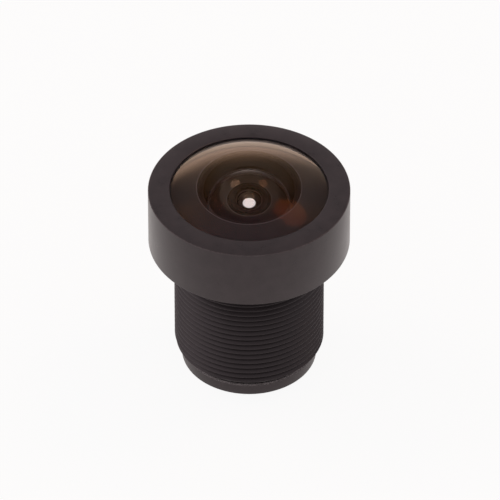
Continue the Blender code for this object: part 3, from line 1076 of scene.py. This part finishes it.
@dataclass
class RearOptics:
    """The four lenses behind the web, with the stop, the spacers and the ring that holds them.

    Attributes:
        third_rear: How far the third lens's rear stands out.
        fourth_front: How far the fourth lens's front stands out.
        cemented: The front lens's rear face in the cemented pair.
        fifth_land: Width of the flat land round the fifth lens's hollow rear.
        fifth_hollow: Depth of that hollow.
        sixth_front: How far the sixth lens's front stands out.
        sixth_rear: How far its rear stands out.
        dense_coating: Coating of the two dense lenses.
        light_coating: Coating of the two light lenses.
        spacer_wall: Thickness of a spacer's wall.
        spacer_round: Round on a spacer's edges.
        sheet_width: Width of a black sheet.
        ring_wall: Thickness of the retaining ring's wall.
        stop_opening: Distance of the stop's edge from the axis.
        stop_bevel: Bevel on that edge.
        stop_round: Round on the stop's outer edges.
        groove_depth: Depth of a groove in the stop spacer.
        groove_round: Round on the grooves' edges.
        grooves: How many grooves that spacer has.
        notch_width: Width of a spanner notch.
        notch_depth: Depth of a spanner notch.
        notch_lean: Angle at the axis by which a notch's wall leans to each side, in radians.
    """

    third_rear: float = 0.74
    fourth_front: float = 0.75
    cemented: Face = Face(3.25, 0.7)
    fifth_land: float = 0.65
    fifth_hollow: float = 0.12
    sixth_front: float = 0.5
    sixth_rear: float = 0.45
    dense_coating: Coating = Coating(98.0)
    light_coating: Coating = Coating(104.0)
    spacer_wall: float = 0.55
    spacer_round: float = 0.02
    sheet_width: float = 0.8
    ring_wall: float = 0.7
    stop_opening: float = 1.2
    stop_bevel: float = 0.06
    stop_round: float = 0.01
    groove_depth: float = 0.2
    groove_round: float = 0.01
    grooves: int = 3
    notch_width: float = 0.8
    notch_depth: float = 0.3
    notch_lean: float = 0.004

    def make_lenses(self) -> None:
        """Make the third to the sixth lens."""
        edge = Span("third_element").edge
        dense = (CoatedGlass(Glass.DENSE, self.dense_coating, edge),) * 2
        light = (CoatedGlass(Glass.LIGHT, self.light_coating, edge),) * 2
        hollow = Face(self.cemented.edge, -self.cemented.bulge)
        fifth_rear = Face(edge - self.fifth_land, -self.fifth_hollow)
        lens_piece("third_element", THIRD_FRONT, Face(edge, self.third_rear), dense)
        lens_piece("fourth_element", Face(edge, self.fourth_front), self.cemented, light)
        lens_piece("fifth_element", hollow, fifth_rear, dense)
        lens_piece("sixth_element", Face(edge, self.sixth_front), Face(edge, self.sixth_rear), light)

    def make_stop(self) -> None:
        """Turn the stop, whose hole is bevelled towards the front."""
        span = Span("aperture_stop")
        corners = [
            (self.stop_opening + self.stop_bevel, span.high, 0.0),
            (span.edge, span.high, self.stop_round),
            (span.edge, span.low, self.stop_round),
            (self.stop_opening, span.low, 0.0),
            (self.stop_opening, span.high - self.stop_bevel, 0.0),
        ]
        sheets = [turned(closed(arcs(corners)))]
        skin_piece("aperture_stop", sheets, INNER_BLACK.material("stop_finish"), Slot.INNER)

    def make_grooved_spacer(self) -> None:
        """Turn the spacer before the stop, with sharp grooves along its bore."""
        span = Span("stop_spacer")
        bore = span.edge - self.spacer_wall
        corners = [
            (bore, span.high, 0.0),
            (span.edge, span.high, self.spacer_round),
            (span.edge, span.low, self.spacer_round),
            (bore, span.low, 0.0),
        ]
        half = (span.high - span.low) / (2 * self.grooves)
        for step in range(1, 2 * self.grooves):
            depth = self.groove_depth if step % 2 else 0.0
            corners.append((bore + depth, span.low + step * half, self.groove_round))
        sheets = [turned(closed(arcs(corners)))]
        skin_piece("stop_spacer", sheets, INNER_BLACK.material("spacer_finish"), Slot.INNER)

    def make_ring(self) -> None:
        """Turn the retaining ring, with its two spanner notches."""
        sheets = [self.notched(Span("retaining_ring"))]
        skin_piece("retaining_ring", sheets, INNER_BLACK.material("ring_finish"), Slot.INNER)

    def notched(self, span: Span) -> Sheet:
        """Turn a square section with two notches sunk into its underside.

        The underside's height at an angle a is raised by the notch's depth where |sin a| is
        under half the notch's width over the ring's mean radius. Each notch's wall stands
        between two extra columns, which lean to both sides of it.

        Args:
            span: The room that the ring takes.

        Returns:
            The sheet.
        """
        inner, outer = span.edge - self.ring_wall, span.edge
        reach = math.asin(self.notch_width / 2 / ((inner + outer) / 2))
        walls = np.array([reach - self.notch_lean, reach + self.notch_lean])
        walls = np.concatenate([walls, np.pi - walls, np.pi + walls, 2 * np.pi - walls])
        angle = np.unique(np.concatenate([np.linspace(0.0, 2 * np.pi, SEGMENTS + 1), walls]))
        cut = np.abs(np.sin(angle)) < math.sin(reach)
        floor = span.low + self.notch_depth * cut
        roof = np.full(len(angle), span.high)
        distance = np.array([inner, outer, outer, inner, inner])[:, None] + 0 * angle[None, :]
        height = np.stack([roof, roof, floor, floor, roof])
        points = np.stack([distance * np.cos(angle), distance * np.sin(angle), height], axis=2)
        return Sheet(points)

    def dress(self) -> None:
        """Make every piece of the rear optics."""
        self.make_lenses()
        self.make_stop()
        self.make_grooved_spacer()
        edge = Span("third_element").edge
        bore = edge - self.spacer_wall
        for node in ("doublet_spacer", "rear_spacer"):
            ring_piece(node, bore, self.spacer_round, INNER_BLACK, Slot.INNER)
        for node in ("stop_baffle", "rear_baffle"):
            ring_piece(node, edge - self.sheet_width, 0.0, FILM, Slot.FILM)
        self.make_ring()


@dataclass
class RearCollar:
    """The filter holder at the rear end and the filter in its recess.

    Attributes:
        neck_step: How far the neck lies in from the collar's wall.
        neck_round: Round between the neck and the collar's upper face.
        collar_height: Height of the collar.
        chamfer: Chamfer on the collar's and the spigot's edges.
        edge_round: Round on each of the collar's edges.
        inner_round: Round on the edges inside the barrel.
        dye: Colour of the holder.
        rubbed_and_lit: Colour of its worn edges, which along the upper chamfer also paints a highlight.
        wear_and_light_width: How far the worn edges and the painted highlight reach from an edge.
        filter_coating: Coating of the filter.
        filter_tint: Colour of the filter where it is looked through.
        filter_edge_tint: Colour towards its edge.
    """

    neck_step: float = 0.3
    neck_round: float = 0.03
    collar_height: float = 1.1
    chamfer: float = 0.12
    edge_round: float = 0.04
    inner_round: float = 0.02
    dye: Colour = (0.017, 0.0135, 0.0148)
    rubbed_and_lit: Colour = (0.3, 0.28, 0.28)
    wear_and_light_width: float = 0.13
    filter_coating: Coating = Coating(130.0)
    filter_tint: Colour = (0.97, 0.955, 0.95)
    filter_edge_tint: Colour = (0.96, 0.94, 0.93)

    def make_holder(self) -> None:
        """Turn the holder."""
        span, glass = Span("filter_holder"), Span("infrared_filter")
        outer, top, edge_round = span.edge, span.high, self.edge_round
        opening = Span("retaining_ring").edge + SIDE_GAP + HOLDER_LEDGE
        spigot, neck = opening + SPIGOT_WALL, outer - self.neck_step
        recess, recess_top = glass.edge + SIDE_GAP, glass.high + FACE_GAP
        shoulder = Span("main_barrel").low - FACE_GAP
        corners = [
            (opening, top, self.inner_round),
            (spigot - self.chamfer, top, 0.0),
            (spigot, top - self.chamfer, 0.0),
            (spigot, shoulder, 0.0),
            (neck, shoulder, self.inner_round),
            (neck, self.collar_height, self.neck_round),
            (outer - self.chamfer, self.collar_height, edge_round),
            (outer, self.collar_height - self.chamfer, edge_round),
            (outer, self.chamfer, edge_round),
            (outer - self.chamfer, span.low, edge_round),
            (recess, span.low, edge_round),
            (recess, recess_top, 0.0),
            (opening, recess_top, self.inner_round),
        ]
        # Both edges of the upper chamfer are worn and carry a painted highlight; the lower chamfer and
        # the recess's edge are only worn.
        edges = (
            (outer - self.chamfer / 2, self.collar_height - self.chamfer / 2),
            (outer - self.chamfer, self.collar_height),
            (outer - self.chamfer / 2, self.chamfer / 2),
            (recess, span.low),
        )
        finish = Anodised(self.dye, roughness=0.42, wear_and_light=EdgeWearAndLight(edges, self.rubbed_and_lit, self.wear_and_light_width))
        sheets = [turned(closed(arcs(corners)))]
        skin_piece("filter_holder", sheets, finish.material("collar_finish"), Slot.COLLAR)

    def make_filter(self) -> None:
        """Cut the flat filter, with its edge blackened."""
        span = Span("infrared_filter")
        sheets = [flat_ring(0.0, span.edge, height) for height in (span.high, span.low)]
        sheets.append(wall(span.edge, span.high, span.low, finish=1))
        tints = (self.filter_tint, self.filter_edge_tint)
        glass = CoatedGlass(Glass.FLAT, self.filter_coating, span.edge, *tints)
        materials = [glass.material("filter_glass"), BLACKING.material("filter_blacking")]
        piece = build("infrared_filter_polished", sheets, materials)
        seat(piece, "infrared_filter", Slot.FILTER_GLASS)

    def dress(self) -> None:
        """Make both pieces."""
        self.make_holder()
        self.make_filter()


@dataclass(frozen=True)
class SoftBox:
    """A round soft box that faces the lens.

    Attributes:
        name: Its name.
        azimuth: Its direction from the lens, in degrees round from +Y towards +X.
        elevation: Its angle above the floor, in degrees.
        size: Its diameter, in millimetres.
        glow: Radiance of its face in each colour, where 1 is white.
        seen: How mirrors show it.
    """

    name: str
    azimuth: float
    elevation: float
    size: float
    glow: Colour
    seen: Seen

    def hang(self, aim: Point, distance: float) -> None:
        """Hang the box.

        A disk of diameter d has the area A = pi * d^2 / 4, and one that glows with radiance L
        gives a power of pi * A * L.

        Args:
            aim: Point that it faces, in millimetres.
            distance: Its distance from that point, in millimetres.
        """
        data = bpy.data.lights.new(self.name, "AREA")
        data.shape = "DISK"
        data.size = self.size * MM
        peak = max(self.glow)
        data.color = [part / peak for part in self.glow]
        data.energy = math.pi * (math.pi * data.size**2 / 4) * peak
        lamp = bpy.data.objects.new(self.name, data)
        turn, rise = math.radians(self.azimuth), math.radians(self.elevation)
        level = np.array([math.sin(turn), math.cos(turn), 0.0]) * math.cos(rise)
        away = level + np.array([0.0, 0.0, math.sin(rise)])
        lamp.visible_glossy = self.seen is Seen.OUTSIDE
        lamp.visible_transmission = self.seen is Seen.IN_GLASS
        lamp.location = (away * distance + np.array(aim)) * MM
        lamp.rotation_euler = (math.pi / 2 - rise, 0.0, math.pi - turn)
        bpy.context.scene.collection.objects.link(lamp)


@dataclass(frozen=True)
class Surround:
    """The world round the lens: a grey room, a white sheet hung low behind, and dark curtains.

    A direction's share along a way is its part along it, from -1 to 1. Each range holds the
    shares between which a mask goes from 0 to 1. Colours are radiances, where 1 is white.

    Attributes:
        room: Colour of the room.
        left_room: Colour of the room's left side.
        left_range: Shares to the left between which one goes over into the other.
        sheet_turn: How far the sheet's bearing is turned left from +Y, in radians.
        sheet_edge: Shares along its bearing that bound the sheet's soft edge.
        sheet_fade: Upward shares between which the sheet fades out.
        sheet_low: Colour of the sheet below the horizon.
        sheet_high: Colour of the sheet above it.
        sheet_step: Upward shares between which one goes over into the other.
        core_edge: Backward shares that bound the sheet's narrower part above the horizon.
        core_step: Upward shares between which the sheet grows narrower.
        curtain: Colour of the curtains.
        curtain_side: Squares of the shares to the side between which they begin.
        curtain_low: Upward shares between which they begin.
        curtain_back: Backward shares between which they begin.
    """

    room: Colour = (0.5, 0.47, 0.48)
    left_room: Colour = (0.95, 0.88, 0.9)
    left_range: Range = (0.2, 0.95)
    sheet_turn: float = math.radians(17.0)
    sheet_edge: Range = (0.7, 0.97)
    sheet_fade: Range = (0.06, 0.6)
    sheet_low: Colour = (1.3, 1.14, 1.12)
    sheet_high: Colour = (2.15, 1.82, 1.8)
    sheet_step: Range = (-0.02, 0.08)
    core_edge: Range = (0.76, 0.96)
    core_step: Range = (-0.2, 0.1)
    curtain: Colour = (0.2, 0.17, 0.2)
    curtain_side: Range = (0.12, 0.4)
    curtain_low: Range = (0.05, 0.3)
    curtain_back: Range = (0.3, 0.6)

    def fill(self) -> None:
        """Fill the world, which is plain white to the camera.

        The share along the sheet's bearing is back * cos(turn) - right * sin(turn).
        """
        world = bpy.data.worlds.new("studio_surround")
        bpy.context.scene.world = world
        world.use_nodes = True
        graph = Graph(world.node_tree)
        right, back, up = graph.split(graph.make("ShaderNodeTexCoord", output="Generated"))
        bearing = back * math.cos(self.sheet_turn) - right * math.sin(self.sheet_turn)
        core = back.rise(*self.core_edge).at_least(1.0 - up.rise(*self.core_step))
        sheet = bearing.rise(*self.sheet_edge) * (1.0 - up.rise(*self.sheet_fade)) * core
        room = graph.blend((0.0 - right).rise(*self.left_range), self.room, self.left_room)
        white = graph.blend(up.rise(*self.sheet_step), self.sheet_low, self.sheet_high)
        sides = (right * right).rise(*self.curtain_side)
        curtains = sides * up.rise(*self.curtain_low) * back.rise(*self.curtain_back)
        colour = graph.blend(curtains, graph.blend(sheet, room, white), self.curtain)
        colour = graph.blend(graph.ray(Ray.CAMERA), colour, WHITE)
        glow = graph.make("ShaderNodeBackground", {}, {"Color": colour, "Strength": 1.0})
        graph.make("ShaderNodeOutputWorld", {}, {"Surface": glow})


SOFT_BOXES = (
    SoftBox("left_spot", -62.0, 48.0, 180.0, (4.0, 2.6, 2.1), Seen.IN_GLASS),
    SoftBox("right_spot", 62.0, 48.0, 180.0, (2.6, 1.35, 0.85), Seen.IN_GLASS),
    SoftBox("right_patch", 67.0, 58.0, 165.0, (1.85, 1.3, 0.85), Seen.OUTSIDE),
)


@dataclass
class Studio:
    """A white floor, a pale surround and three soft boxes, seen from in front and above.

    Attributes:
        elevation: Angle of the camera above the floor, in degrees.
        distance: Distance from the camera to its aim, in millimetres.
        aim: Point that it looks at, in millimetres.
        frame_width: Width of what it sees at its aim, in millimetres.
        sensor_width: Width of its sensor, in millimetres.
        sight: Nearest and farthest distance that it sees, in metres.
        floor_size: Half the width of the floor, in millimetres.
        paper: Colour of the floor.
        near_glow: Colour that mirrors see of the floor near the lens.
        far_glow: Colour that they see of it far behind the lens.
        glow_range: Places along +Y between which one goes over into the other, in metres.
        camera_share: Share of the glow in what the camera sees of the floor.
        mirror_share: Share of the glow in what mirrors see of it.
        box_distance: Distance from the aim to each soft box, in millimetres.
        glass_bounces: How many faces of glass a ray may pass through.
        bounces: How many bounces it may have in all.
    """

    elevation: float = 41.1
    distance: float = 600.0
    aim: Point = (0.07, 0.0, 10.68)
    frame_width: float = 39.75
    sensor_width: float = 36.0
    sight: Range = (0.01, 10.0)
    floor_size: float = 900.0
    paper: Colour = (0.86, 0.86, 0.86)
    near_glow: Colour = (1.0, 0.94, 0.92)
    far_glow: Colour = (1.68, 1.46, 1.38)
    glow_range: Range = (0.045, 0.11)
    camera_share: float = 0.92
    mirror_share: float = 0.97
    box_distance: float = 400.0
    glass_bounces: int = 24
    bounces: int = 28

    def make_camera(self) -> None:
        """Place the camera: it looks along +Y and down by its elevation."""
        data = bpy.data.cameras.new("studio_camera")
        data.sensor_width = self.sensor_width
        data.lens = data.sensor_width * self.distance / self.frame_width
        data.clip_start, data.clip_end = self.sight
        camera = bpy.data.objects.new("studio_camera", data)
        angle = math.radians(self.elevation)
        back = np.array([0.0, -math.cos(angle), math.sin(angle)]) * self.distance
        camera.location = (np.array(self.aim) + back) * MM
        camera.rotation_euler = (math.pi / 2 - angle, 0.0, 0.0)
        bpy.context.scene.collection.objects.link(camera)
        bpy.context.scene.camera = camera

    def make_floor(self) -> None:
        """Lay the floor of pale paper.

        The camera and mirrors see it glow like a lit paper sweep, which in mirrors is brighter
        far behind the lens. All other light meets plain paper, so the lens has its shadow.
        """
        side = np.array([-self.floor_size, self.floor_size])
        x, y = np.meshgrid(side, side)
        sheet = Sheet(np.stack([x, y, 0 * x], axis=2))
        material, graph = new_graph("floor_paper")
        inputs = {"Base Color": opaque(self.paper), "Roughness": 0.9}
        paper = graph.make("ShaderNodeBsdfPrincipled", {}, inputs)
        camera = graph.ray(Ray.CAMERA)
        mirrored = (graph.ray(Ray.GLOSSY) + graph.ray(Ray.TRANSMISSION)).at_most(1.0)
        _, back, _ = graph.split(graph.object_point())
        sweep = graph.blend(back.rise(*self.glow_range), self.near_glow, self.far_glow)
        colour = graph.blend(camera, sweep, WHITE)
        glow = graph.make("ShaderNodeEmission", {}, {"Color": colour, "Strength": 1.0})
        share = (camera * self.camera_share).at_least(mirrored * self.mirror_share)
        graph.surface(graph.make("ShaderNodeMixShader", {}, {0: share, 1: paper, 2: glow}))
        build("studio_floor", [sheet], [material])

    def set_up(self) -> None:
        """Make the whole studio."""
        scene = bpy.context.scene
        scene.view_settings.view_transform = "Standard"
        scene.cycles.transmission_bounces = self.glass_bounces
        scene.cycles.max_bounces = self.bounces
        self.make_camera()
        self.make_floor()
        Surround().fill()
        for box in SOFT_BOXES:
            box.hang(self.aim, self.box_distance)


def main() -> None:
    """Dress every sub-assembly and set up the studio."""
    logging.basicConfig(level=logging.INFO, format="%(name)s: %(message)s")
    Head().dress()
    Barrel().dress()
    FrontOptics().dress()
    RearOptics().dress()
    RearCollar().dress()
    Studio().set_up()
    bpy.context.view_layer.update()


if __name__ == "__main__":
    main()
